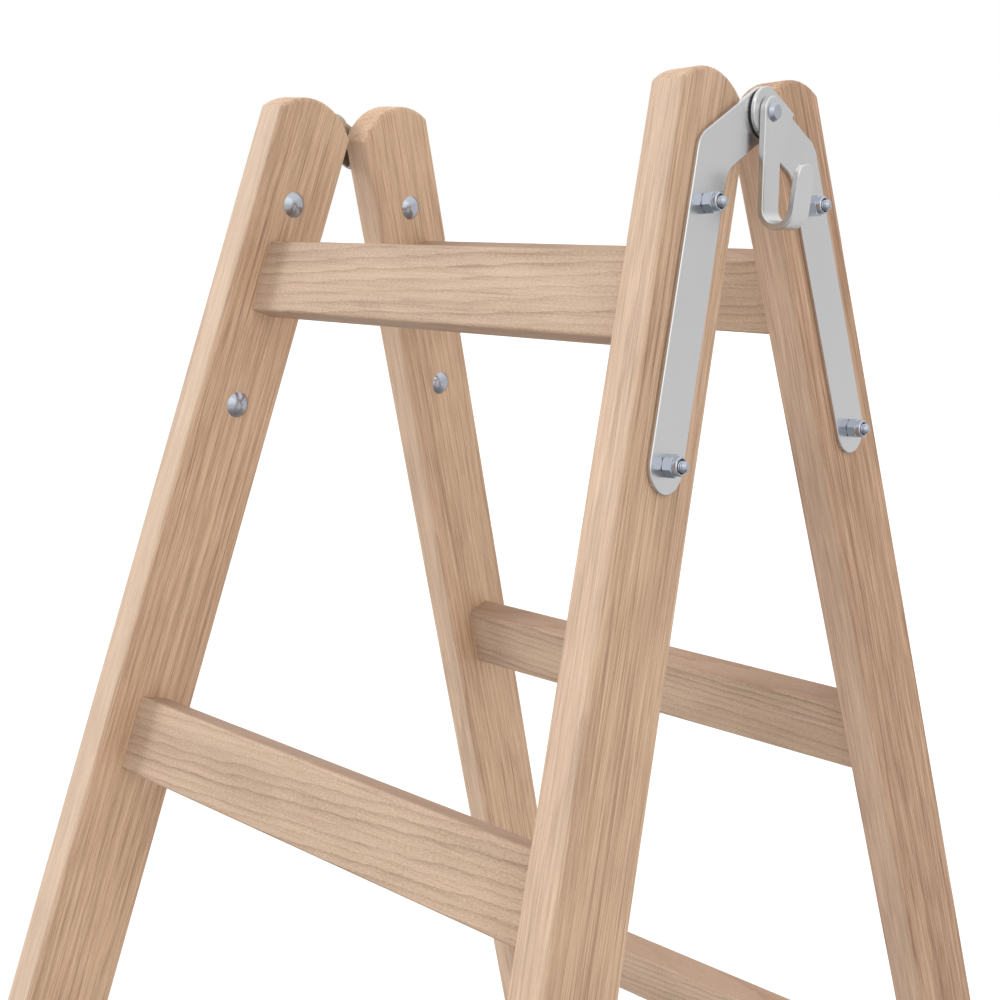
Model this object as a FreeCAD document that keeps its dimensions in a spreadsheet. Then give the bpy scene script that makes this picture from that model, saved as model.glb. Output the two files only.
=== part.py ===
import FreeCAD, Part
import math
import operator
import os
from types import SimpleNamespace

import Sketcher
from FreeCAD import Placement, Rotation, Vector

# Wooden double rung ladder with zinc plated steel hinges, as a parametric document.
#
# Axes: +X along the rungs, +Y from the front frame to the back frame, +Z up.
# Origin: on the floor, midway between the four feet.  The ladder stands open.
#
# Each frame has its own axes: x as above, y towards the other frame and z up the
# frame, with their origin on the line where the inner faces of both frames meet.
# A "drop" is a distance down the frame from that line.

# ---------------------------------------------------------------- driving dimensions
DIMENSIONS = {
    # the two frames
    "lean": 17.6,               # degrees from upright to each frame
    "splay": 3.7,               # degrees from the frame's centre line to each stile
    "rung_count": 5,
    "rung_pitch": 290,
    "top_rung_drop": 124,
    "top_half_width": 166,      # centre line to the outer face, level with the top rung
    # stiles
    "stile_width": 60,
    "stile_thick": 21,
    "crown_drop": 6,
    "crown_rise": 14.5,
    "wood_round": 3,
    "rung_round": 2,
    # rungs with their tenons and the blind mortises
    "rung_height": 45,
    "rung_depth": 20,
    "tenon_height": 33,
    "tenon_thick": 12,
    "tenon_length": 14,
    "glue_gap": 0.1,
    "mortise_spare": 1.5,
    # hinge plates
    "pivot_height_drop": 15,    # straight down from the line where the inner faces meet
    "plate_thick": 2.3,
    "strap_width": 28,
    "arm_width": 26,
    "arm_angle": 45,
    "corner_round": 14,
    "bend_drop": 46,
    "joggle_start": 26,         # from the pivot, along the arm
    "joggle_run": 3,
    "joggle_round": 2,
    "plate_edge": 0.4,
    # pivots
    "washer_thick": 0.8,
    "washer_radius": 12.4,
    "side_play": 0.05,
    "pin_radius": 3.5,
    "running_gap": 0.05,
    "pin_head_radius": 6,
    "pin_head_height": 2.6,
    "pin_end_radius": 5.1,
    "pin_end_height": 2.1,
    "pin_flat_radius": 3.7,
    # bucket hook, a flat bar bent to a J
    "hook_width": 16,
    "hook_thick": 3.7,
    "hook_drop": 59.5,          # pivot to the underside
    "hook_gap": 14.2,
    "hook_tip_rise": 33,        # underside to the tip
    "hook_tip_round": 7,
    "hook_flare": 7,
    "hook_edge": 0.8,
    # carriage bolts and lock nuts, M6
    "upper_bolt_drop": 74,
    "lower_bolt_drop": 204,
    "bolt_radius": 2.95,
    "bolt_length": 34.5,
    "bolt_end_radius": 1.5,     # the flat at the tip of the cone
    "thread_pitch": 1,
    "thread_depth": 0.3,
    "thread_turns": 12,
    "head_radius": 8,
    "head_height": 3.9,
    "neck_width": 6,
    "neck_length": 4.4,
    "bolt_hole_radius": 3.2,
    "nut_width": 10,
    "nut_hex_height": 5.2,
    "nut_height": 8,
    "nut_foot_radius": 4.85,
    "collar_radius": 4.8,
    "collar_lip": 0.5,
    "insert_radius": 4.3,
    "insert_height": 1.9,
}

FAR = 2000                      # longer than any piece, for cuts that go right through
TOLERANCE = 0.01
FRAMES = ("front", "back")
HANDS = ("left", "right")


# ---------------------------------------------------------------- sizes
def as_size(amount):
    return amount if isinstance(amount, Size) else Size(amount)


def operation(sign, apply):
    """The two methods that join a size to another size or number, from either side."""
    def forward(self, other):
        other = as_size(other)
        return Size(apply(self.number, other.number), f"({self.text} {sign} {other.text})")

    def backward(self, other):
        return forward(as_size(other), self)

    return forward, backward


class Size:
    """A number together with the formula of the sheet's cells that gives it."""

    __add__, __radd__ = operation("+", operator.add)
    __sub__, __rsub__ = operation("-", operator.sub)
    __mul__, __rmul__ = operation("*", operator.mul)
    __truediv__, __rtruediv__ = operation("/", operator.truediv)

    def __init__(self, number, text=None):
        self.number = float(number)
        self.text = text or f"({self.number})"

    def __neg__(self):
        return 0 - self

    def __float__(self):
        return self.number


def sin(angle):
    return Size(math.sin(math.radians(angle)), f"sin({angle.text})")


def cos(angle):
    return Size(math.cos(math.radians(angle)), f"cos({angle.text})")


def tan(angle):
    return Size(math.tan(math.radians(angle)), f"tan({angle.text})")


D = SimpleNamespace(**{name: Size(number, f"dims.{name}") for name, number in DIMENSIONS.items()})

# Lengths and heights that several pieces share
FOOT_DROP = D.top_rung_drop + D.rung_count * D.rung_pitch
APEX_HEIGHT = FOOT_DROP * cos(D.lean) - D.stile_width / 2 * sin(D.lean)
APEX_HALF_WIDTH = D.top_half_width - D.top_rung_drop * tan(D.splay)
STILE_MIDDLE = -D.stile_width / 2
PIVOT_DROP = D.pivot_height_drop * cos(D.lean)
PIVOT_INSET = D.pivot_height_drop * sin(D.lean)
STRAP_OFFSET = D.stile_width / 2 + PIVOT_INSET
ARM_PLANE = APEX_HALF_WIDTH + D.bend_drop * tan(D.splay)
ARM_FACE = ARM_PLANE + D.plate_thick
OUTER_LOBE = ARM_FACE + D.washer_thick + D.side_play
OUTER_FACE = OUTER_LOBE + D.plate_thick
HOOK_BACK = OUTER_FACE + D.side_play
NUT_BASE = D.stile_thick + D.plate_thick
BOLT_DROPS = (D.upper_bolt_drop, D.lower_bolt_drop)

doc = FreeCAD.newDocument("double_ladder")
sheet = doc.addObject("Spreadsheet::Sheet", "dims")
parts = []                      # every sub-part that becomes a file
made = []                       # every body that is checked


def fill_sheet():
    for row, (name, number) in enumerate(DIMENSIONS.items(), start=1):
        sheet.set(f"A{row}", name)
        sheet.set(f"B{row}", str(number))
        sheet.setAlias(f"B{row}", name)
    doc.recompute()


# ---------------------------------------------------------------- sketch helpers
def origin_plane(body, role):
    return next(item for item in body.Origin.OriginFeatures if item.Role == role)


def new_sketch(body, name, role, offset=None):
    sketch = body.newObject("Sketcher::SketchObject", name)
    sketch.AttachmentSupport = [(origin_plane(body, role), "")]
    sketch.MapMode = "FlatFace"
    if offset is not None:
        sketch.AttachmentOffset = offset
    return sketch


def hold(sketch, size, kind, *geometry):
    """Add a constraint whose amount follows the sheet; angles are given in degrees."""
    amount = math.radians(size) if kind == "Angle" else float(size)
    index = sketch.addConstraint(Sketcher.Constraint(kind, *geometry, amount))
    sketch.setExpression(f"Constraints[{index}]", as_size(size).text)


def hold_vertex(sketch, geometry, end, across, up):
    """Hold one vertex of a sketch at a place given by two sizes."""
    for kind, size, axis in (("DistanceX", across, -2), ("DistanceY", up, -1)):
        if abs(float(size)) < TOLERANCE:
            sketch.addConstraint(Sketcher.Constraint("PointOnObject", geometry, end, axis))
        else:
            hold(sketch, size, kind, -1, 1, geometry, end)


def join(sketch, kind, joins):
    """Join pairs of curve ends; each join is geometry, end, geometry, end."""
    for ends in joins:
        sketch.addConstraint(Sketcher.Constraint(kind, *ends))


def spot(across, up):
    return Vector(float(across), float(up), 0)


def polygon(sketch, corners):
    """A closed outline of straight lines; each corner is a pair of sizes."""
    spots = [spot(*corner) for corner in corners]
    first = sketch.GeometryCount
    count = len(spots)
    for index in range(count):
        sketch.addGeometry(Part.LineSegment(spots[index], spots[(index + 1) % count]), False)
    join(sketch, "Coincident",
         [(first + index, 2, first + (index + 1) % count, 1) for index in range(count)])
    for index, corner in enumerate(corners):
        hold_vertex(sketch, first + index, 1, *corner)


def circle(sketch, across, up, radius):
    whole = Part.Circle(spot(across, up), Vector(0, 0, 1), float(radius))
    index = sketch.addGeometry(whole, False)
    hold_vertex(sketch, index, 3, across, up)
    hold(sketch, radius, "Radius", index)


def arc(centre, radius, start, end):
    """An arc that runs anticlockwise between two directions in degrees."""
    whole = Part.Circle(centre, Vector(0, 0, 1), float(radius))
    return Part.ArcOfCircle(whole, math.radians(start), math.radians(end))


def rectangle(sketch, across, up, width, height):
    """A rectangle about a centre."""
    left, right = across - width / 2, across + width / 2
    low, high = up - height / 2, up + height / 2
    polygon(sketch, [(left, low), (right, low), (right, high), (left, high)])


# ---------------------------------------------------------------- feature helpers
def new_body(label):
    body = doc.addObject("PartDesign::Body", label)
    body.Label = label
    made.append(body)
    return body


def pad(body, sketch, length, midplane=False, reverse=False):
    feature = body.newObject("PartDesign::Pad", "Pad")
    feature.Profile = sketch
    feature.setExpression("Length", as_size(length).text)
    feature.Midplane = midplane
    feature.Reversed = reverse
    doc.recompute()
    return feature


def expect_cut(body, before):
    """Stop if the body has not lost material since its volume was noted."""
    if body.Shape.Volume > before - TOLERANCE:
        raise RuntimeError(f"{body.Label}: {body.Tip.Name} cuts nothing")


def pocket(body, sketch, length=None, reverse=False, direction=None):
    """Cut a sketch into the body, right through it both ways if no length is given."""
    before = body.Shape.Volume
    feature = body.newObject("PartDesign::Pocket", "Pocket")
    feature.Profile = sketch
    feature.Reversed = reverse
    if direction is not None:
        feature.UseCustomVector = True
        feature.Direction = direction
    if length is None:
        feature.Length = FAR
        feature.Midplane = True
    else:
        feature.setExpression("Length", as_size(length).text)
    doc.recompute()
    expect_cut(body, before)
    return feature


def turn(body, sketch, kind):
    """A full turn of a half section about the sketch's horizontal axis."""
    feature = body.newObject(f"PartDesign::{kind}", "Turned")
    feature.Profile = sketch
    feature.ReferenceAxis = (sketch, ["H_Axis"])
    feature.Angle = 360
    doc.recompute()


def turn_solid(body, sketch):
    turn(body, sketch, "Revolution")


def turn_away(body, sketch):
    before = body.Shape.Volume
    turn(body, sketch, "Groove")
    expect_cut(body, before)


def ease_edges(body, wanted, size, kind="Fillet"):
    """Round or chamfer the edges of the body so far that the wanted test picks."""
    base = body.Tip
    names = [f"Edge{index}" for index, edge in enumerate(base.Shape.Edges, start=1) if wanted(edge)]
    feature = body.newObject(f"PartDesign::{kind}", "Eased")
    feature.Base = (base, names)
    feature.setExpression("Radius" if kind == "Fillet" else "Size", as_size(size).text)
    doc.recompute()
    if not feature.isValid() or feature.Shape.Volume > base.Shape.Volume:
        raise RuntimeError(f"{body.Label}: the edges could not be eased")


def runs_along(edge, axis):
    """True for a straight edge that is parallel to an axis."""
    if edge.Curve.TypeId != "Part::GeomLine":
        return False
    return abs(abs(edge.Curve.Direction.dot(axis)) - 1) < TOLERANCE


def add_dome(body, base, radius, height, facing):
    """A round-topped button on the x axis, with its flat side at the base."""
    ball = (radius * radius + height * height) / (2 * height)
    crown = base + facing * height
    spread = math.degrees(math.asin(float(radius) / float(ball)))
    centre = spot(crown - facing * ball, 0)
    if facing > 0:
        curve, crown_end, rim_end = arc(centre, ball, 0, spread), 1, 2
    else:
        curve, crown_end, rim_end = arc(centre, ball, 180 - spread, 180), 2, 1
    section = new_sketch(body, "Dome", "XZ_Plane")
    section.addGeometry([curve, Part.LineSegment(spot(crown, 0), spot(base, 0)),
                         Part.LineSegment(spot(base, 0), spot(base, radius))], False)
    join(section, "Coincident", [(0, crown_end, 1, 1), (1, 2, 2, 1), (2, 2, 0, rim_end)])
    hold_vertex(section, 1, 1, crown, 0)
    hold_vertex(section, 2, 1, base, 0)
    hold_vertex(section, 2, 2, base, radius)
    hold(section, ball, "Radius", 0)
    turn_solid(body, section)


# ---------------------------------------------------------------- places
def moved(x=0, y=0, z=0):
    return Placement(Vector(float(x), float(y), float(z)), Rotation())


def turned(axis, degrees):
    return Placement(Vector(), Rotation(Vector(*axis), float(degrees)))


def frame_place(name):
    """The placement of a frame's own axes: the back frame is the front one turned about Z."""
    front = moved(z=APEX_HEIGHT).multiply(turned((1, 0, 0), -D.lean))
    if name == "front":
        return front
    return turned((0, 0, 1), 180).multiply(front)


def frame_side(name, hand):
    """Which way along the frame's own x a world hand lies: +1 or -1."""
    world = 1 if hand == "right" else -1
    return world if name == "front" else -world


def stile_place(name, side):
    """The placement of a stile's own axes, on its outer face, with z up the stile."""
    outer_face = frame_place(name).multiply(moved(x=side * APEX_HALF_WIDTH))
    return outer_face.multiply(turned((0, 1, 0), -side * D.splay))


def pivot_place(name):
    """A frame's axes moved to the hinge line."""
    return frame_place(name).multiply(moved(y=PIVOT_INSET, z=-PIVOT_DROP))


# ---------------------------------------------------------------- wood
def board_profile(body, foot):
    """The side view of a stile: a crowned top and straight edges down past the foot."""
    profile = new_sketch(body, "Board", "YZ_Plane")
    shoulder = -(D.crown_drop + D.crown_rise)
    far_edge = -D.stile_width
    near, far = spot(0, shoulder), spot(far_edge, shoulder)
    low_near, low_far = spot(0, foot), spot(far_edge, foot)
    profile.addGeometry([Part.Arc(near, spot(STILE_MIDDLE, -D.crown_drop), far),
                         Part.LineSegment(far, low_far), Part.LineSegment(low_far, low_near),
                         Part.LineSegment(low_near, near)], False)
    join(profile, "Coincident", [(piece, 2, (piece + 1) % 4, 1) for piece in range(4)])
    hold_vertex(profile, 1, 1, far_edge, shoulder)
    hold_vertex(profile, 1, 2, far_edge, foot)
    hold_vertex(profile, 3, 1, 0, foot)
    hold_vertex(profile, 3, 2, 0, shoulder)
    half = D.stile_width / 2
    hold(profile, (half * half + D.crown_rise * D.crown_rise) / (2 * D.crown_rise), "Radius", 0)
    return profile


def cut_mortises(body, side, inner_face):
    """A row of blind slots in the inner face, cut in the direction of the rungs."""
    mortise = new_sketch(body, "Mortise", "YZ_Plane", inner_face)
    inner_drop = D.top_rung_drop / cos(D.splay) - D.stile_thick * tan(D.splay)
    rectangle(mortise, STILE_MIDDLE, -inner_drop, D.tenon_thick + 2 * D.glue_gap,
              (D.tenon_height + 2 * D.glue_gap) / cos(D.splay))
    along_rung = Vector(side * float(cos(D.splay)), 0, -float(sin(D.splay)))
    first = pocket(body, mortise, D.tenon_length + D.mortise_spare, direction=along_rung)
    before = body.Shape.Volume
    row = body.newObject("PartDesign::LinearPattern", "Mortises")
    row.Originals = [first]
    row.Direction = (origin_plane(body, "Z_Axis"), [""])
    row.Reversed = True
    row.setExpression("Occurrences", D.rung_count.text)
    row.setExpression("Length", ((D.rung_count - 1) * D.rung_pitch / cos(D.splay)).text)
    body.Tip = row
    doc.recompute()
    expect_cut(body, before)


def make_stile(name, hand):
    """A board with a crowned top, blind mortises in its inner face and a level foot."""
    side = frame_side(name, hand)
    place = stile_place(name, side)
    body = new_body(f"{name}_{hand}_stile")
    below_foot = -(FOOT_DROP + D.stile_width) / cos(D.splay)
    pad(body, board_profile(body, below_foot), D.stile_thick, reverse=side > 0)
    foot_level = float(below_foot) + TOLERANCE
    ease_edges(body, lambda edge: edge.BoundBox.ZMax > foot_level, D.wood_round)

    floor = new_sketch(body, "Floor", "XY_Plane", place.inverse())
    rectangle(floor, 0, 0, Size(FAR), Size(FAR))
    pocket(body, floor, length=FAR)

    inner_face = moved(z=-side * D.stile_thick)
    cut_mortises(body, side, inner_face)
    bores = new_sketch(body, "Bolt_holes", "YZ_Plane")
    seats = new_sketch(body, "Neck_seats", "YZ_Plane", inner_face)
    for drop in BOLT_DROPS:
        height = -drop / cos(D.splay)
        circle(bores, STILE_MIDDLE, height, D.bolt_hole_radius)
        rectangle(seats, STILE_MIDDLE, height, D.neck_width, D.neck_width)
    pocket(body, bores)
    pocket(body, seats, D.neck_length, reverse=side > 0)
    body.Placement = place
    parts.append(body)


def make_rung(name, number):
    """A bar whose shoulders follow the stiles, with a tenon at each end."""
    body = new_body(f"{name}_rung_{number}")
    drop = D.top_rung_drop + (number - 1) * D.rung_pitch
    half = APEX_HALF_WIDTH + drop * tan(D.splay) - D.stile_thick / cos(D.splay)
    high = D.rung_height / 2
    slant = high * tan(D.splay)
    face = new_sketch(body, "Face", "XZ_Plane")
    polygon(face, [(slant - half, high), (half - slant, high),
                   (half + slant, -high), (-half - slant, -high)])
    pad(body, face, D.rung_depth, midplane=True)
    ease_edges(body, lambda edge: runs_along(edge, Vector(1, 0, 0)), D.rung_round)
    tenon = new_sketch(body, "Tenon", "XZ_Plane")
    rectangle(tenon, 0, 0, 2 * (half + D.tenon_length), D.tenon_height)
    pad(body, tenon, D.tenon_thick, midplane=True)
    body.Placement = frame_place(name).multiply(moved(y=STILE_MIDDLE, z=-drop))
    parts.append(body)


# ---------------------------------------------------------------- hinge plates
def plate_outline(sketch):
    """Lobe round the pivot, arm, and strap down the stile, inside a waste rectangle."""
    rectangle(sketch, 0, 0, Size(FAR), Size(FAR))
    slope = math.radians(D.arm_angle)
    half_arm = float(D.arm_width / 2)
    half_strap = float(D.strap_width / 2)
    bend = float(D.corner_round)
    offset = float(STRAP_OFFSET)
    square_on = 180 - float(D.arm_angle)

    def bend_centre(edge, distance):
        """Centre of a round, from the strap edge beside it and its distance above the arm line."""
        x = edge + bend
        return Vector(x, (distance + x * math.cos(slope)) / math.sin(slope), 0)

    lobe = arc(Vector(), half_arm, square_on - 180, square_on)
    end = arc(spot(-STRAP_OFFSET, PIVOT_DROP - D.lower_bolt_drop), half_strap, 180, 360)
    outer = arc(bend_centre(-offset - half_strap, half_arm - bend), bend, square_on, 180)
    inner = arc(bend_centre(-offset + half_strap, -half_arm - bend), bend, square_on, 180)
    first = sketch.GeometryCount
    sketch.addGeometry([lobe, Part.LineSegment(lobe.EndPoint, outer.StartPoint), outer,
                        Part.LineSegment(outer.EndPoint, end.StartPoint), end,
                        Part.LineSegment(end.EndPoint, inner.EndPoint), inner,
                        Part.LineSegment(inner.StartPoint, lobe.StartPoint)], False)
    joins = ((0, 2, 1, 1), (1, 2, 2, 1), (2, 2, 3, 1), (3, 2, 4, 1),
             (4, 2, 5, 1), (5, 2, 6, 2), (6, 1, 7, 1), (7, 2, 0, 1))
    join(sketch, "Tangent", [(first + one, one_end, first + other, other_end)
                             for one, one_end, other, other_end in joins])
    sketch.addConstraint(Sketcher.Constraint("Coincident", first, 3, -1, 1))
    hold_vertex(sketch, first + 4, 3, -STRAP_OFFSET, PIVOT_DROP - D.lower_bolt_drop)
    hold(sketch, D.arm_width / 2, "Radius", first)
    hold(sketch, D.strap_width / 2, "Radius", first + 4)
    for corner in (first + 2, first + 6):
        hold(sketch, D.corner_round, "Radius", corner)
    for strap_edge in (first + 3, first + 5):
        sketch.addConstraint(Sketcher.Constraint("Vertical", strap_edge))
    sketch.addConstraint(Sketcher.Constraint("Parallel", first + 1, first + 7))
    hold(sketch, 90 - D.arm_angle, "Angle", first + 7)


def bent_sheet(body, side, width):
    """Sheet metal with one bend: upright beside the pivot, then along the sloping stile."""
    section = new_sketch(body, "Bent_sheet", "XZ_Plane")
    top = 2 * D.arm_width
    bottom = -(D.lower_bolt_drop + D.strap_width)
    bend = PIVOT_DROP - D.bend_drop
    sloping = D.plate_thick / cos(D.splay)
    outer_bend = bend + (sloping - D.plate_thick) / tan(D.splay)
    low = APEX_HALF_WIDTH + (PIVOT_DROP - bottom) * tan(D.splay)
    polygon(section, [(side * ARM_PLANE, top), (side * ARM_PLANE, bend),
                      (side * low, bottom), (side * (low + sloping), bottom),
                      (side * ARM_FACE, outer_bend), (side * ARM_FACE, top)])
    pad(body, section, width, midplane=True)


def add_joggle(body, side, width):
    """Cut the arm square near the pivot and carry it on, one layer further out."""
    across_arm = turned((1, 0, 0), -D.arm_angle)
    end = new_sketch(body, "Arm_end", "XZ_Plane", across_arm)
    start = -D.joggle_start
    reach = 4 * D.strap_width
    polygon(end, [(Size(-FAR), start), (Size(FAR), start), (Size(FAR), reach), (Size(-FAR), reach)])
    pocket(body, end)
    step = new_sketch(body, "Step", "XZ_Plane", across_arm)
    run = D.joggle_run - D.joggle_start
    tip = D.arm_width / 2 + D.plate_thick
    polygon(step, [(side * ARM_PLANE, start), (side * ARM_FACE, start), (side * OUTER_FACE, run),
                   (side * OUTER_FACE, tip), (side * OUTER_LOBE, tip), (side * OUTER_LOBE, run)])
    pad(body, step, width, midplane=True)
    fold, up = (across_arm.Rotation.multVec(Vector(*axis)) for axis in ((0, 1, 0), (0, 0, 1)))

    def is_crest(edge):
        point = edge.valueAt(edge.FirstParameter)
        outer = abs(point.x) > float(OUTER_LOBE) + TOLERANCE
        return runs_along(edge, fold) and outer and abs(point.dot(up) - float(run)) < TOLERANCE

    ease_edges(body, is_crest, D.joggle_round)


def is_rim(shape, edge):
    """True for an edge between a broad face of a plate and a face cut across it."""
    leans = sorted(abs(face.normalAt(*face.Surface.parameter(edge.valueAt(edge.FirstParameter))).x)
                   for face in shape.ancestorsOfType(edge, Part.Face))
    return leans[0] < 0.05 and leans[-1] > 0.6


def make_hinge_plate(name, hand):
    """A bent plate: strap on the sloping stile, arm square to the hinge line.

    The back frame's plates also step outwards near the pivot, over the front ones.
    """
    side = frame_side(name, hand)
    body = new_body(f"{name}_{hand}_hinge_plate")
    width = 4 * (STRAP_OFFSET + D.strap_width)
    bent_sheet(body, side, width)
    eye = D.pin_radius
    if name == "back":
        add_joggle(body, side, width)
        eye = D.pin_radius + D.running_gap
    outline = new_sketch(body, "Outline", "YZ_Plane")
    plate_outline(outline)
    pocket(body, outline)
    holes = new_sketch(body, "Holes", "YZ_Plane")
    for drop in BOLT_DROPS:
        circle(holes, -STRAP_OFFSET, PIVOT_DROP - drop, D.bolt_hole_radius)
    circle(holes, 0, 0, eye)
    drilled = pocket(body, holes)
    ease_edges(body, lambda edge: is_rim(drilled.Shape, edge), D.plate_edge, kind="Chamfer")
    body.Placement = pivot_place(name)
    parts.append(body)


# ---------------------------------------------------------------- pivots
def make_pivot_washer(hand):
    """The thin disc that keeps the two lobes of a hinge apart."""
    side = frame_side("front", hand)
    body = new_body(f"{hand}_pivot_washer")
    ring = new_sketch(body, "Ring", "YZ_Plane")
    for radius in (D.washer_radius, D.pin_radius):
        circle(ring, 0, 0, radius)
    pad(body, ring, D.washer_thick, reverse=side < 0)
    body.Placement = pivot_place("front").multiply(moved(x=side * ARM_FACE))
    parts.append(body)


def make_pivot_pin(hand, outer_face):
    """A headed pin, its outer end closed to a bevelled button over the given face."""
    side = frame_side("front", hand)
    body = new_body(f"{hand}_pivot_pin")
    end = outer_face + D.side_play
    tip = end + D.pin_end_height
    shank = new_sketch(body, "Half_section", "XZ_Plane")
    polygon(shank, [(side * ARM_PLANE, 0), (side * ARM_PLANE, D.pin_radius), (side * end, D.pin_radius),
                    (side * end, D.pin_end_radius), (side * tip, D.pin_flat_radius), (side * tip, 0)])
    turn_solid(body, shank)
    add_dome(body, side * ARM_PLANE, D.pin_head_radius, D.pin_head_height, -side)
    body.Placement = pivot_place("front")
    parts.append(body)


def hook_profile(body):
    """The side view of the hook: a leg, a round bend and a flared tip."""
    bar = new_sketch(body, "Bar", "XZ_Plane")
    thick = float(D.hook_thick)
    top = D.hook_width / 2
    bend = D.hook_gap / 2
    bend_height = bend + D.hook_thick - D.hook_drop
    tip_height = D.hook_tip_rise - D.hook_drop
    flare = math.radians(D.hook_flare)
    centre = spot(HOOK_BACK + D.hook_thick + bend, bend_height)
    outer = arc(centre, bend + D.hook_thick, 180, 360 - float(D.hook_flare))
    inner = arc(centre, bend, 180, 360 - float(D.hook_flare))
    rise = float(tip_height) - outer.EndPoint.y
    tip = Vector(rise * math.tan(flare), rise, 0)
    back, front = spot(HOOK_BACK, top), spot(HOOK_BACK, top) + Vector(thick, 0, 0)
    bar.addGeometry([Part.LineSegment(back, outer.StartPoint), outer,
                     Part.LineSegment(outer.EndPoint, outer.EndPoint + tip),
                     Part.LineSegment(outer.EndPoint + tip, inner.EndPoint + tip),
                     Part.LineSegment(inner.EndPoint + tip, inner.EndPoint), inner,
                     Part.LineSegment(inner.StartPoint, front),
                     Part.LineSegment(front, back)], False)
    join(bar, "Tangent", ((0, 2, 1, 1), (1, 2, 2, 1), (4, 2, 5, 2), (5, 1, 6, 1)))
    join(bar, "Coincident", ((2, 2, 3, 1), (3, 2, 4, 1), (6, 2, 7, 1), (7, 2, 0, 1), (1, 3, 5, 3)))
    bar.addConstraint(Sketcher.Constraint("Vertical", 0))
    bar.addConstraint(Sketcher.Constraint("Horizontal", 7))
    bar.addConstraint(Sketcher.Constraint("Perpendicular", 2, 3))
    hold(bar, bend + D.hook_thick, "Radius", 1)
    hold(bar, bend, "Radius", 5)
    hold_vertex(bar, 0, 1, HOOK_BACK, top)
    hold(bar, bend_height, "DistanceY", -1, 1, 1, 3)
    hold(bar, 90 - D.hook_flare, "Angle", 2)
    hold(bar, tip_height, "DistanceY", -1, 1, 2, 2)
    return bar


def make_bucket_hook():
    """A flat bar that hangs on the right pivot, bent up again in front of itself."""
    body = new_body("bucket_hook")
    pad(body, hook_profile(body), D.hook_width, midplane=True)
    across_bar = float(D.hook_thick) + TOLERANCE

    def is_end_corner(edge, at_top):
        return edge.Length < across_bar and (edge.CenterOfMass.z > 0) == at_top

    ease_edges(body, lambda edge: is_end_corner(edge, True), D.hook_width / 2 - TOLERANCE)
    ease_edges(body, lambda edge: is_end_corner(edge, False), D.hook_tip_round)
    eye = new_sketch(body, "Eye", "YZ_Plane")
    circle(eye, 0, 0, D.pin_radius + D.running_gap)
    pocket(body, eye)
    side_face = float(D.hook_width / 2) - TOLERANCE

    def is_side_edge(edge):
        box = edge.BoundBox
        return min(abs(box.YMin), abs(box.YMax)) > side_face and box.YLength < TOLERANCE

    ease_edges(body, is_side_edge, D.hook_edge)
    body.Placement = moved(z=APEX_HEIGHT - D.pivot_height_drop)
    parts.append(body)


# ---------------------------------------------------------------- fasteners
def bolt_places(name):
    """Placements of a frame's four bolts: x outwards through the stile, from its inner face."""
    for hand in HANDS:
        side = frame_side(name, hand)
        facing = turned((0, 0, 1), 0 if side > 0 else 180)
        for drop in BOLT_DROPS:
            on_stile = moved(-side * D.stile_thick, STILE_MIDDLE, -drop / cos(D.splay))
            yield stile_place(name, side).multiply(on_stile).multiply(facing)


def make_group(name, kind, maker):
    """Four identical fasteners of one frame, as separate solids of one sub-part."""
    pieces = []
    for number, place in enumerate(bolt_places(name), start=1):
        piece = maker(f"{name}_{kind}_{number}")
        piece.Placement = place
        pieces.append(piece)
    group = doc.addObject("Part::Compound", f"{name}_{kind}s")
    group.Label = f"{name}_{kind}s"
    group.Links = pieces
    doc.recompute()
    parts.append(group)


def make_carriage_bolt(label):
    """A domed head with a square neck, and a shank with thread grooves at its end."""
    body = new_body(label)
    add_dome(body, Size(0), D.head_radius, D.head_height, -1)
    neck = new_sketch(body, "Neck", "YZ_Plane")
    rectangle(neck, 0, 0, D.neck_width, D.neck_width)
    pad(body, neck, D.neck_length)
    shank = new_sketch(body, "Shank", "XZ_Plane")
    crest, root = D.bolt_radius, D.bolt_radius - D.thread_depth
    half_pitch = D.thread_pitch / 2
    outline = [(0, 0), (0, crest)]
    for groove in range(DIMENSIONS["thread_turns"], 0, -1):
        start = D.bolt_length - groove * D.thread_pitch - half_pitch
        outline += [(start, crest), (start + half_pitch, root)]
    outline += [(D.bolt_length, D.bolt_end_radius), (D.bolt_length, 0)]
    polygon(shank, outline)
    turn_solid(body, shank)
    return body


def make_lock_nut(label):
    """A hexagon nut with a turned collar, hollow at the top for the nylon ring."""
    body = new_body(label)
    flat = D.nut_width / 2
    corner = flat / cos(Size(30))
    hexagon = new_sketch(body, "Hexagon", "YZ_Plane", moved(z=NUT_BASE))
    polygon(hexagon, [(corner * cos(Size(angle)), corner * sin(Size(angle)))
                      for angle in range(30, 390, 60)])
    pad(body, hexagon, D.nut_height)
    top = NUT_BASE + D.nut_height
    hex_top = NUT_BASE + D.nut_hex_height
    under_lip = top - D.collar_lip
    bevel = (corner - flat) * tan(Size(30))
    waste = new_sketch(body, "Turning", "XZ_Plane")
    polygon(waste, [(hex_top - bevel, corner), (hex_top, flat), (hex_top, D.collar_radius),
                    (under_lip, D.collar_radius), (top, D.collar_radius - D.collar_lip),
                    (top, D.nut_width), (NUT_BASE, D.nut_width),
                    (NUT_BASE, D.nut_foot_radius), (NUT_BASE + bevel, corner)])
    turn_away(body, waste)
    bore = new_sketch(body, "Bore", "XZ_Plane")
    seat = under_lip - D.insert_height
    mouth = D.insert_radius - D.collar_lip
    polygon(bore, [(NUT_BASE - 1, 0), (NUT_BASE - 1, D.bolt_radius), (seat, D.bolt_radius),
                   (seat, D.insert_radius), (under_lip, D.insert_radius),
                   (under_lip, mouth), (top + 1, mouth), (top + 1, 0)])
    turn_away(body, bore)
    return body


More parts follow.
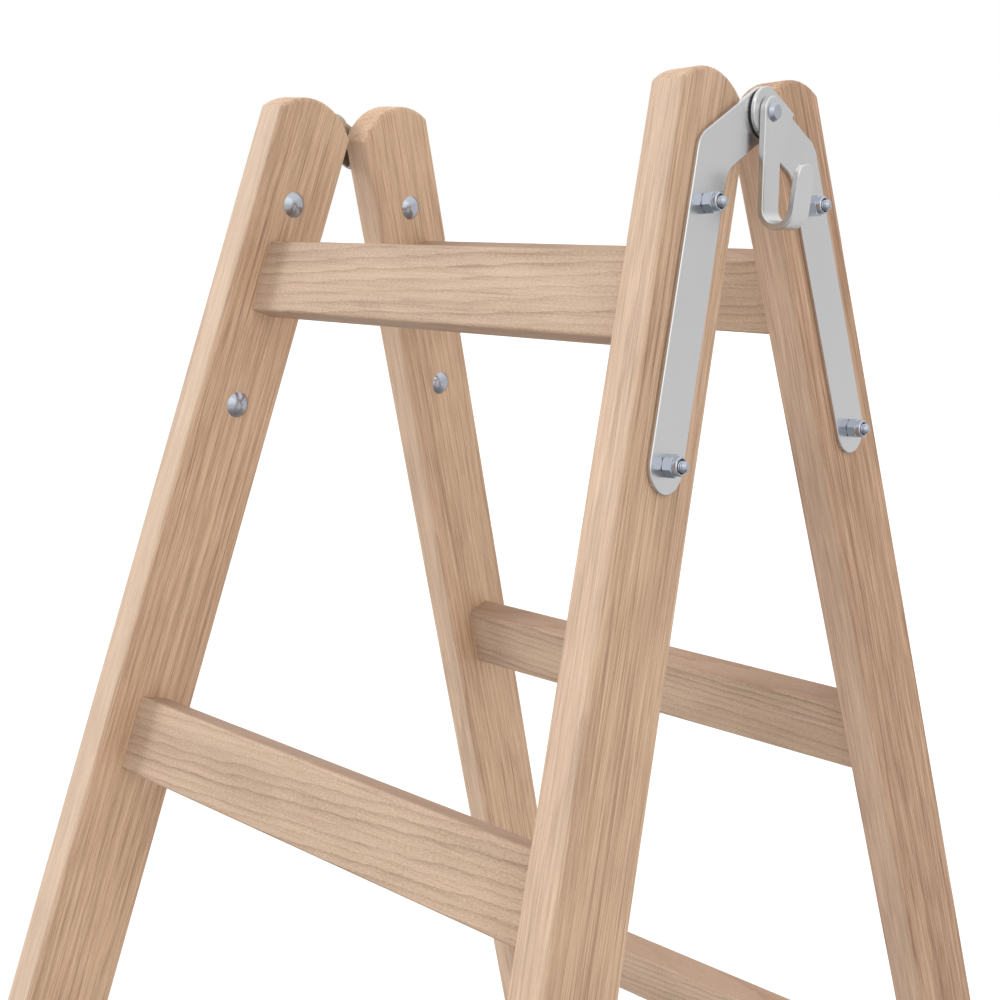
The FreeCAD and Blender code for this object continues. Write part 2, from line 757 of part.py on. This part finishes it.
def make_nut_insert(label):
    """The nylon ring that grips the thread."""
    body = new_body(label)
    high = NUT_BASE + D.nut_height - D.collar_lip
    low = high - D.insert_height
    section = new_sketch(body, "Section", "XZ_Plane")
    polygon(section, [(low, D.bolt_radius), (high, D.bolt_radius),
                      (high, D.insert_radius), (low, D.insert_radius)])
    turn_solid(body, section)
    return body


# ---------------------------------------------------------------- run
def check():
    doc.recompute()
    for item in doc.Objects:
        bad = {"Invalid", "Error"} & set(item.State)
        if bad:
            raise RuntimeError(f"{item.Label}: {bad}")
    for item in made + parts:
        if item.Shape.isNull() or not item.Shape.isValid():
            raise RuntimeError(f"{item.Label}: bad shape")


def build():
    fill_sheet()
    for frame in FRAMES:
        for hand in HANDS:
            make_stile(frame, hand)
        for number in range(1, DIMENSIONS["rung_count"] + 1):
            make_rung(frame, number)
        for hand in HANDS:
            make_hinge_plate(frame, hand)
        make_group(frame, "carriage_bolt", make_carriage_bolt)
        make_group(frame, "lock_nut", make_lock_nut)
        make_group(frame, "nut_insert", make_nut_insert)
    for hand in HANDS:
        make_pivot_washer(hand)
    make_pivot_pin("left", OUTER_FACE)
    make_pivot_pin("right", HOOK_BACK + D.hook_thick)
    make_bucket_hook()


def export():
    os.makedirs("parts", exist_ok=True)
    for item in parts:
        item.Shape.exportStep(f"parts/{item.Label}.step")
        box = item.Shape.BoundBox
        print(f"{item.Label:28s} {len(item.Shape.Solids)} solid(s)",
              f"{item.Shape.Volume / 1000:9.1f} cm3",
              f"x {box.XMin:8.2f} {box.XMax:8.2f}  y {box.YMin:8.2f} {box.YMax:8.2f}",
              f" z {box.ZMin:8.2f} {box.ZMax:8.2f}")


build()
check()
export()
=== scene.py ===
"""Looks of a wooden double rung ladder with zinc plated hinges, around its CAD frame."""
import math
import random

import bpy
from mathutils import Matrix, Vector


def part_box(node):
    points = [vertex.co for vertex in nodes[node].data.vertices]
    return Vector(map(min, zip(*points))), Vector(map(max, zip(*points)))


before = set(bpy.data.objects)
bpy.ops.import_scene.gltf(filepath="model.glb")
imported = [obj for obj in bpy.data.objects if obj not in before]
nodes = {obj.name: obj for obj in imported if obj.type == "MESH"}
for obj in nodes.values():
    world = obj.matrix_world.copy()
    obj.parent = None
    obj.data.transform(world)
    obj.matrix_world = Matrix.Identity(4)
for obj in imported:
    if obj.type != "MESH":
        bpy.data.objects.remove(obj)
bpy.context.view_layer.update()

MM = 0.001
HANDS = {"left": -1, "right": 1}
FRAMES = {"front": -1, "back": 1}
GRAIN_SEED = 11
random.seed(GRAIN_SEED)

# ---------------------------------------------------------------- settings
CAMERA_PLACE = (0.5508, -0.6365, 1.418)
CAMERA_YAW, CAMERA_PITCH, CAMERA_ROLL = 41.51, -7.32, 0.737      # degrees
SENSOR_WIDTH = 36                                                # mm
FOCAL_LENGTH = 1.4149                                            # in picture widths
SHIFT_UP = -0.0938                                               # in picture widths

KEY_TOWARDS = (2.6, 2.1, -1.9)
KEY_STRENGTH = 1.25
KEY_ANGLE = 16                                                   # degrees

# Brightness of the studio, from straight below (0) to straight above (1).
SKY = [(0.0, 0.73), (0.5, 0.75), (0.62, 0.80), (0.8, 1.08), (1.0, 1.1)]
# Direction of a zone, its soft edge by the cosine of the angle from it, and its brightness.
SOFTBOX = ((0.78, -0.54, 0.3), [(0.82, 0.0), (0.92, 1.0)], 0.5)
DARK_ZONE = ((-0.55, -0.83, 0.0), [(0.78, 0.0), (0.93, 1.0)], -0.45)

FLOOR_SIZE = 200
FLOOR_TONE = 0.70                                                # what lights the ladder
FLOOR_SEEN = 0.28                                                # more, as the camera sees it
FLOOR_MIRRORED = -0.05                                           # less, as metal mirrors it
FLOOR_MIRRORED_NEAR = -0.40                                      # less again, by the ladder
FLOOR_RANGE = 10.0
FLOOR_NEAR = [(0.10, 1.0), (0.28, 0.0)]                          # in FLOOR_RANGE

# A wood's light and dark tone.
STILE_TONES = ((0.71, 0.49, 0.328, 1), (0.27, 0.142, 0.08, 1))
RUNG_TONES = ((0.60, 0.44, 0.32, 1), (0.21, 0.120, 0.072, 1))
DARK_STILE_TONES = ((0.70, 0.465, 0.305, 1), (0.27, 0.137, 0.077, 1))
# Painted light and shade on the narrow faces: paler on the stiles, darker on the rungs, as the
# light falls on them.
STILE_SIDE_PAINTED_LIGHT = (0.66, 0.54, 0.44, 1)
RUNG_SIDE_PAINTED_SHADE = (0.36, 0.225, 0.155, 1)
HUES = ((0.998, 1.0, 0.985, 1), (1.002, 0.992, 1.0, 1))
WOOD_SHADE = 0.33                                                # between the two tones

# Noises in the wood: waves per mm across and along the grain, detail, roughness, seed step.
NOISES = {
    "bend": (0.012, 0.0022, 1.5, 0.5, 0),
    "ripple": (0.09, 0.009, 2.0, 0.5, 3),
    "wobble": (0.12, 0.045, 2.0, 0.5, 4),
    "jag": (0.8, 0.09, 3.0, 0.6, 5),
    "streak": (0.5, 0.007, 4.0, 0.75, 7),
    "broad": (0.06, 0.003, 2.0, 0.5, 9),
    "fibre": (1.15, 0.022, 3.0, 0.7, 11),
    "fleck": (1.7, 0.45, 3.0, 0.7, 13),
    "patch": (0.035, 0.018, 2.0, 0.5, 15),
    "hue": (0.11, 0.003, 2.0, 0.5, 17),
    "vein": (0.30, 0.0032, 2.0, 0.5, 19),
    "gate": (0.2, 0.012, 2.0, 0.5, 23),
}
# How far, in mm, a noise moves the growth rings.
BEND, RIPPLE, WOBBLE, JAG = 42.0, 5.0, 2.5, 1.0
RING_END = 14.0                                                  # how suddenly a ring ends
RING_LEAST, RING_CHANCE = 0.4, 0.9                               # a ring's own darkness
RING_SEED_STEP = 7.0
# How much a noise darkens the wood.
BROAD, FIBRE, PATCH, VEINS = 0.6, 2.0, 0.4, 0.25
# Edges of masks made from noise.
VEIN_EDGE = [(0.0, 1.0), (0.022, 0.0)]
GATE_EDGE = [(0.42, 0.0), (0.62, 1.0)]
HUE_EDGE = [(0.38, 0.0), (0.62, 1.0)]
PORE_EDGE = [(0.06, 1.0), (0.17, 0.0)]
PORE_TONE = (0.20, 0.11, 0.065, 1)
PORE_STRENGTH = 0.22
PORES_PER_MM = (1.3, 1.3, 0.16)
# Height of the late wood and pores in the relief, whose fibres count as 1.
LATE_RELIEF, PORE_RELIEF = -0.4, -0.5

# The grain of each stile, as wood() says.
# side is how much painted light pales a stile's narrow faces.
STILES = {
    ("front", "left"): dict(pith=(-24, 78), pitch=5.2, drift=0.008, tone=-0.10, seed=2.0,
                            side=0.42),
    ("back", "left"): dict(pith=(20, -84), pitch=6.5, drift=-0.006, tone=-0.10, seed=14.0),
    ("front", "right"): dict(pith=(26, -82), pitch=8.5, drift=0.007, tone=0.0, seed=31.0),
    ("back", "right"): dict(pith=(-30, 76), pitch=7.5, drift=-0.010, tone=0.16, seed=46.0,
                            tones=DARK_STILE_TONES),
}
# What the grain of all rungs has in common.  The rest is drawn for each rung.
# side and its tone paint shade on the rungs' top and bottom faces.
RUNG_GRAIN = dict(sharp=2.6, rings=0.34, streaks=0.25, tone=-0.14, side=0.6,
                  side_painted_tone=RUNG_SIDE_PAINTED_SHADE, wave=0.6, ragged=1.5, speck=1.3, tones=RUNG_TONES)
RUNG_SEED, RUNG_SEED_STEP = 60.0, 9


# ---------------------------------------------------------------- places from the frame
def middle(node):
    low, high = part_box(node)
    return (low + high) / 2


def width(node):
    low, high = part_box(node)
    return high.x - low.x


RUNGS = sorted(int(name.rsplit("_", 1)[1]) for name in nodes if name.startswith("front_rung_"))
TOP_RUNG, BOTTOM_RUNG = (f"front_rung_{number}" for number in (RUNGS[0], RUNGS[-1]))
DOWN = middle(BOTTOM_RUNG) - middle(TOP_RUNG)
LEAN = math.atan2(-DOWN.y, -DOWN.z)
SPLAY = math.atan2((width(BOTTOM_RUNG) - width(TOP_RUNG)) / 2, DOWN.length)
SWAP = Matrix(((0, 0, 1), (1, 0, 0), (0, 1, 0)))     # a rung's grain lies along the frame's x


def frame_turn(side):
    """Rotation of a frame's own axes: x along the rungs, z up the frame, y through it."""
    return Matrix.Rotation(side * LEAN, 3, "X")


def stile_turn(side, hand):
    """Rotation of a stile's own axes: x through the board, y across its width, z up it."""
    return frame_turn(side) @ Matrix.Rotation(-hand * SPLAY, 3, "Y")


# ---------------------------------------------------------------- node trees
class Graph:
    """Short calls that add nodes to a node tree and link them."""

    def __init__(self, tree):
        self.tree = tree

    def add(self, kind, settings=(), **inputs):
        node = self.tree.nodes.new(kind)
        for key, setting in dict(settings).items():
            setattr(node, key, setting)
        for key, given in inputs.items():
            self.feed(node.inputs[key.replace("_", " ")], given)
        return node

    def feed(self, socket, given):
        if isinstance(given, bpy.types.NodeSocket):
            self.tree.links.new(given, socket)
        else:
            socket.default_value = given

    def math(self, operation, *given, clamp=False):
        node = self.tree.nodes.new("ShaderNodeMath")
        node.operation = operation
        node.use_clamp = clamp
        for socket, value in zip(node.inputs, given):
            self.feed(socket, value)
        return node.outputs[0]

    def vector(self, operation, *given):
        node = self.tree.nodes.new("ShaderNodeVectorMath")
        node.operation = operation
        for socket, value in zip(node.inputs, given):
            self.feed(socket, value)
        return node.outputs["Value" if operation in ("LENGTH", "DOT_PRODUCT") else "Vector"]

    def grey(self, value):
        return self.add("ShaderNodeCombineXYZ", X=value, Y=value, Z=value).outputs["Vector"]

    def noise(self, point, scale, detail=2.0, roughness=0.5, w=None):
        """Noise between about 0.25 and 0.75, stretched by the scale along each axis."""
        stretched = self.vector("MULTIPLY", point, scale)
        settings = {"noise_dimensions": "4D" if w is not None else "3D"}
        node = self.add("ShaderNodeTexNoise", settings, Vector=stretched, Scale=1.0,
                        Detail=detail, Roughness=roughness)
        if w is not None:
            self.feed(node.inputs["W"], w)
        return node.outputs["Fac"]

    def ramp(self, factor, stops):
        """Straight-line map of a factor through (position, value) stops."""
        node = self.add("ShaderNodeValToRGB", Fac=factor)
        elements = node.color_ramp.elements
        while len(elements) < len(stops):
            elements.new(0.5)
        for element, (position, value) in zip(elements, stops):
            element.position = position
            element.color = (value, value, value, 1)
        return node.outputs["Color"]

    def mix(self, factor, a, b, blend="MIX"):
        """Mix of two colours."""
        node = self.tree.nodes.new("ShaderNodeMix")
        node.data_type = "RGBA"
        node.blend_type = blend
        self.feed(node.inputs["Factor"], factor)
        self.feed(node.inputs[6], a)                 # the colour sockets are known by number
        self.feed(node.inputs[7], b)
        return node.outputs[2]


# ---------------------------------------------------------------- camera, lights and floor
def make_camera():
    data = bpy.data.cameras.new("camera")
    camera = bpy.data.objects.new("camera", data)
    bpy.context.scene.collection.objects.link(camera)
    bpy.context.scene.camera = camera
    camera.location = CAMERA_PLACE
    turn = Matrix.Rotation(math.radians(CAMERA_YAW), 3, "Z")
    turn = turn @ Matrix.Rotation(math.radians(90 + CAMERA_PITCH), 3, "X")
    turn = turn @ Matrix.Rotation(math.radians(CAMERA_ROLL), 3, "Z")
    camera.rotation_euler = turn.to_euler()
    data.sensor_width = SENSOR_WIDTH
    data.lens = SENSOR_WIDTH * FOCAL_LENGTH
    data.shift_y = SHIFT_UP
    data.clip_start = 0.01


def make_key_light():
    data = bpy.data.lights.new("key", "SUN")
    data.energy = KEY_STRENGTH
    data.angle = math.radians(KEY_ANGLE)
    light = bpy.data.objects.new("key", data)
    bpy.context.scene.collection.objects.link(light)
    light.rotation_euler = Vector(KEY_TOWARDS).to_track_quat("-Z", "Y").to_euler()


def make_world():
    """A pale studio that lights from above and is plain white to the camera."""
    world = bpy.data.worlds.new("studio")
    bpy.context.scene.world = world
    world.use_nodes = True
    graph = Graph(world.node_tree)
    world.node_tree.nodes.clear()
    direction = graph.add("ShaderNodeTexCoord").outputs["Generated"]
    split = graph.add("ShaderNodeSeparateXYZ", Vector=direction)
    height = graph.math("MULTIPLY_ADD", split.outputs["Z"], 0.5, 0.5)
    strength = graph.ramp(height, SKY)
    for towards, edge, brightness in (SOFTBOX, DARK_ZONE):
        inside = graph.ramp(graph.vector("DOT_PRODUCT", direction, towards), edge)
        strength = graph.math("MULTIPLY_ADD", inside, brightness, strength)
    seen = graph.add("ShaderNodeLightPath").outputs["Is Camera Ray"]
    strength = graph.math("MAXIMUM", strength, seen)
    back = graph.add("ShaderNodeBackground", Color=(1, 1, 1, 1), Strength=strength)
    output = graph.add("ShaderNodeOutputWorld")
    world.node_tree.links.new(back.outputs[0], output.inputs["Surface"])


def make_floor():
    """A matt floor, nearly white to the camera and darker in the metal's reflections."""
    bpy.ops.mesh.primitive_plane_add(size=FLOOR_SIZE, location=(0, 0, 0))
    floor = bpy.context.object
    floor.name = "floor"
    material, graph, shader = new_material("floor")
    path = graph.add("ShaderNodeLightPath").outputs
    reach = graph.vector("LENGTH", graph.add("ShaderNodeTexCoord").outputs["Object"])
    near = graph.ramp(graph.math("DIVIDE", reach, FLOOR_RANGE), FLOOR_NEAR)
    mirrored = graph.math("MULTIPLY_ADD", near, FLOOR_MIRRORED_NEAR, FLOOR_MIRRORED)
    tone = graph.math("MULTIPLY_ADD", path["Is Camera Ray"], FLOOR_SEEN, FLOOR_TONE)
    tone = graph.math("MULTIPLY_ADD", path["Is Glossy Ray"], mirrored, tone)
    graph.feed(shader.inputs["Base Color"], graph.grey(tone))
    shader.inputs["Roughness"].default_value = 1.0
    shader.inputs["Specular IOR Level"].default_value = 0.0
    floor.data.materials.append(material)


# ---------------------------------------------------------------- materials
def new_material(name):
    material = bpy.data.materials.new(name)
    material.use_nodes = True
    tree = material.node_tree
    return material, Graph(tree), tree.nodes["Principled BSDF"]


def grain_noise(graph, point, kind, seed):
    across, along, detail, roughness, step = NOISES[kind]
    return graph.noise(point, (across, across, along), detail, roughness, w=seed + step)


def grain_waver(graph, point, kind, seed):
    """Noise about zero."""
    return graph.math("SUBTRACT", grain_noise(graph, point, kind, seed), 0.5)


def late_wood(graph, point, pith, pitch, drift, sharp, wave, ragged, seed):
    """The dark part of every growth ring, which builds up slowly and ends at once."""
    along = graph.add("ShaderNodeSeparateXYZ", Vector=point).outputs["Z"]
    offset = graph.vector("SUBTRACT", point, (pith[0], pith[1], 0.0))
    radius = graph.vector("LENGTH", graph.vector("MULTIPLY", offset, (1, 1, 0)))
    radius = graph.math("MULTIPLY_ADD", along, drift, radius)
    for kind, amount in (("bend", BEND * wave), ("ripple", RIPPLE * wave),
                         ("wobble", WOBBLE * ragged), ("jag", JAG * ragged)):
        moved = grain_waver(graph, point, kind, seed)
        radius = graph.math("MULTIPLY_ADD", moved, amount, radius)
    count = graph.math("DIVIDE", radius, pitch)
    ring = graph.math("FLOOR", count)
    part = graph.math("FRACT", count)
    own = graph.add("ShaderNodeTexWhiteNoise", {"noise_dimensions": "1D"},
                    W=graph.math("ADD", ring, seed * RING_SEED_STEP + 0.5)).outputs["Value"]
    late = graph.math("POWER", part, sharp)
    end = graph.math("MULTIPLY", graph.math("SUBTRACT", 1.0, part), RING_END, clamp=True)
    late = graph.math("MULTIPLY", late, end)
    own = graph.math("MULTIPLY_ADD", own, RING_CHANCE, RING_LEAST)
    return graph.math("MULTIPLY", late, own)


def dark_veins(graph, point, seed):
    """Thin dark lines along the grain, which come and go."""
    distance = graph.math("ABSOLUTE", grain_waver(graph, point, "vein", seed))
    line = graph.ramp(distance, VEIN_EDGE)
    gate = graph.ramp(grain_noise(graph, point, "gate", seed), GATE_EDGE)
    return graph.math("MULTIPLY", line, gate)


def wood(name, place, turn, pith, pitch, seed, drift=0.0, sharp=2.2, rings=0.22, streaks=1.0,
         tone=0.0, side=0.3, side_painted_tone=STILE_SIDE_PAINTED_LIGHT, wave=1.0, ragged=0.8, speck=0.3,
         tones=STILE_TONES):
    """Planed hardwood, in the board's own axes in mm with the grain along z.

    The growth rings are a pitch apart round the pith, and drift is their slant along the
    board.  Sharp narrows their dark part, wave bends them and ragged frays them.  Rings,
    streaks and speck are the strengths of the rings, the long fibres and the short flecks,
    tone darkens the whole board, and side is how much of the side tone its narrow faces take.
    The side tone is painted light and shade: it makes the narrow faces paler on the stiles
    and darker on the rungs, by the way they face.
    """
    material, graph, shader = new_material(name)
    position = graph.add("ShaderNodeTexCoord").outputs["Object"]
    mapping = graph.add("ShaderNodeMapping", {"vector_type": "TEXTURE"}, Vector=position,
                        Location=place, Rotation=turn.to_euler(), Scale=(MM, MM, MM))
    point = mapping.outputs["Vector"]

    late = late_wood(graph, point, pith, pitch, drift, sharp, wave, ragged, seed)
    streak, broad, fibre, fleck, patch = (
        grain_waver(graph, point, kind, seed)
        for kind in ("streak", "broad", "fibre", "fleck", "patch"))
    veins = dark_veins(graph, point, seed)
    shade = WOOD_SHADE + tone
    for part, amount in ((late, rings), (streak, streaks), (broad, BROAD),
                         (fibre, FIBRE * streaks), (fleck, speck), (patch, PATCH),
                         (veins, VEINS)):
        shade = graph.math("MULTIPLY_ADD", part, amount, shade)
    colour = graph.mix(graph.math("ADD", shade, 0.0, clamp=True), *tones)
    hue = graph.ramp(grain_noise(graph, point, "hue", seed), HUE_EDGE)
    colour = graph.mix(1.0, colour, graph.mix(hue, *HUES), "MULTIPLY")

    # Painted light and shade: faces whose normal runs across the board take the side tone, paler
    # on the stiles and darker on the rungs.
    normal = graph.add("ShaderNodeTexCoord").outputs["Normal"]
    across = turn @ Vector((0, 1, 0))
    edge = graph.math("ABSOLUTE", graph.vector("DOT_PRODUCT", normal, tuple(across)))
    edge = graph.math("MULTIPLY", graph.math("POWER", edge, 3.0), side)
    colour = graph.mix(edge, colour, side_painted_tone)

    pores = graph.vector("MULTIPLY", point, PORES_PER_MM)
    cell = graph.add("ShaderNodeTexVoronoi", Vector=pores, Scale=1.0).outputs["Distance"]
    pore = graph.ramp(cell, PORE_EDGE)
    colour = graph.mix(graph.math("MULTIPLY", pore, PORE_STRENGTH), colour, PORE_TONE)
    graph.feed(shader.inputs["Base Color"], colour)
    graph.feed(shader.inputs["Roughness"], graph.math("MULTIPLY_ADD", fibre, 0.25, 0.6))
    shader.inputs["Specular IOR Level"].default_value = 0.35
    relief = graph.math("ADD", fibre, graph.math("MULTIPLY", pore, PORE_RELIEF))
    relief = graph.math("MULTIPLY_ADD", late, LATE_RELIEF, relief)
    bump = graph.add("ShaderNodeBump", Strength=0.5, Distance=0.00012, Height=relief)
    graph.feed(shader.inputs["Normal"], bump.outputs["Normal"])
    return material


def zinc(name, colour, roughness):
    """Zinc plate: satin metal whose brightness and gloss vary a little from place to place."""
    material, graph, shader = new_material(name)
    point = graph.add("ShaderNodeTexCoord").outputs["Object"]
    cloud = graph.noise(point, (70.0, 70.0, 25.0), 2.0)
    shift = graph.math("MULTIPLY_ADD", graph.math("SUBTRACT", cloud, 0.5), 0.05, 1.0)
    colour = graph.mix(1.0, (*colour, 1), graph.grey(shift), "MULTIPLY")
    gloss = graph.math("MULTIPLY_ADD", cloud, 0.05, roughness - 0.025)
    graph.feed(shader.inputs["Base Color"], colour)
    graph.feed(shader.inputs["Roughness"], gloss)
    shader.inputs["Metallic"].default_value = 1.0
    return material


def plastic(name, colour, roughness):
    """Moulded plastic with a fine grit."""
    material, graph, shader = new_material(name)
    point = graph.add("ShaderNodeTexCoord").outputs["Object"]
    grit = graph.add("ShaderNodeTexNoise", Vector=point, Scale=1500.0, Detail=2.0).outputs["Fac"]
    darker = tuple(value * 0.8 for value in colour)
    graph.feed(shader.inputs["Base Color"], graph.mix(grit, (*colour, 1), (*darker, 1)))
    graph.feed(shader.inputs["Roughness"], graph.math("MULTIPLY_ADD", grit, 0.2, roughness - 0.1))
    bump = graph.add("ShaderNodeBump", Strength=0.2, Distance=0.00004, Height=grit)
    graph.feed(shader.inputs["Normal"], bump.outputs["Normal"])
    return material


def cover(node, material):
    for slot in nodes[node].material_slots:
        slot.material = material


def cover_stiles():
    for (name, hand), grain in STILES.items():
        node = f"{name}_{hand}_stile"
        turn = stile_turn(FRAMES[name], HANDS[hand])
        cover(node, wood(node, middle(node), turn, **grain))


def cover_rungs():
    for name, side in FRAMES.items():
        for number in RUNGS:
            node = f"{name}_rung_{number}"
            pith = (random.uniform(12, 25) * side, -random.uniform(45, 70))
            pitch = random.uniform(4.6, 5.8)
            drift = random.uniform(0.03, 0.07) * random.choice((-1, 1))
            seed = RUNG_SEED + RUNG_SEED_STEP * number + side
            turn = frame_turn(side) @ SWAP
            cover(node, wood(node, middle(node), turn, pith, pitch, seed, drift, **RUNG_GRAIN))


def cover_fittings():
    finishes = (                                     # a material and the nodes it covers
        (zinc("hinge_zinc", (0.66, 0.66, 0.665), 0.25), "hinge_plate"),
        (zinc("hook_zinc", (0.67, 0.67, 0.67), 0.26), "bucket_hook"),
        (zinc("fastener_zinc", (0.50, 0.54, 0.62), 0.16), "lock_nuts"),
        (zinc("bolt_zinc", (0.47, 0.50, 0.56), 0.24), ("bolts", "pin")),
        (plastic("washer_plastic", (0.02, 0.02, 0.022), 0.45), "washer"),
        (plastic("nut_nylon", (0.012, 0.016, 0.035), 0.5), "inserts"),
    )
    for node in nodes:
        for material, endings in finishes:
            if node.endswith(endings):
                cover(node, material)


# ---------------------------------------------------------------- the scene
make_camera()
make_floor()
make_world()
bpy.context.scene.view_settings.view_transform = "Standard"
make_key_light()
cover_stiles()
cover_rungs()
cover_fittings()
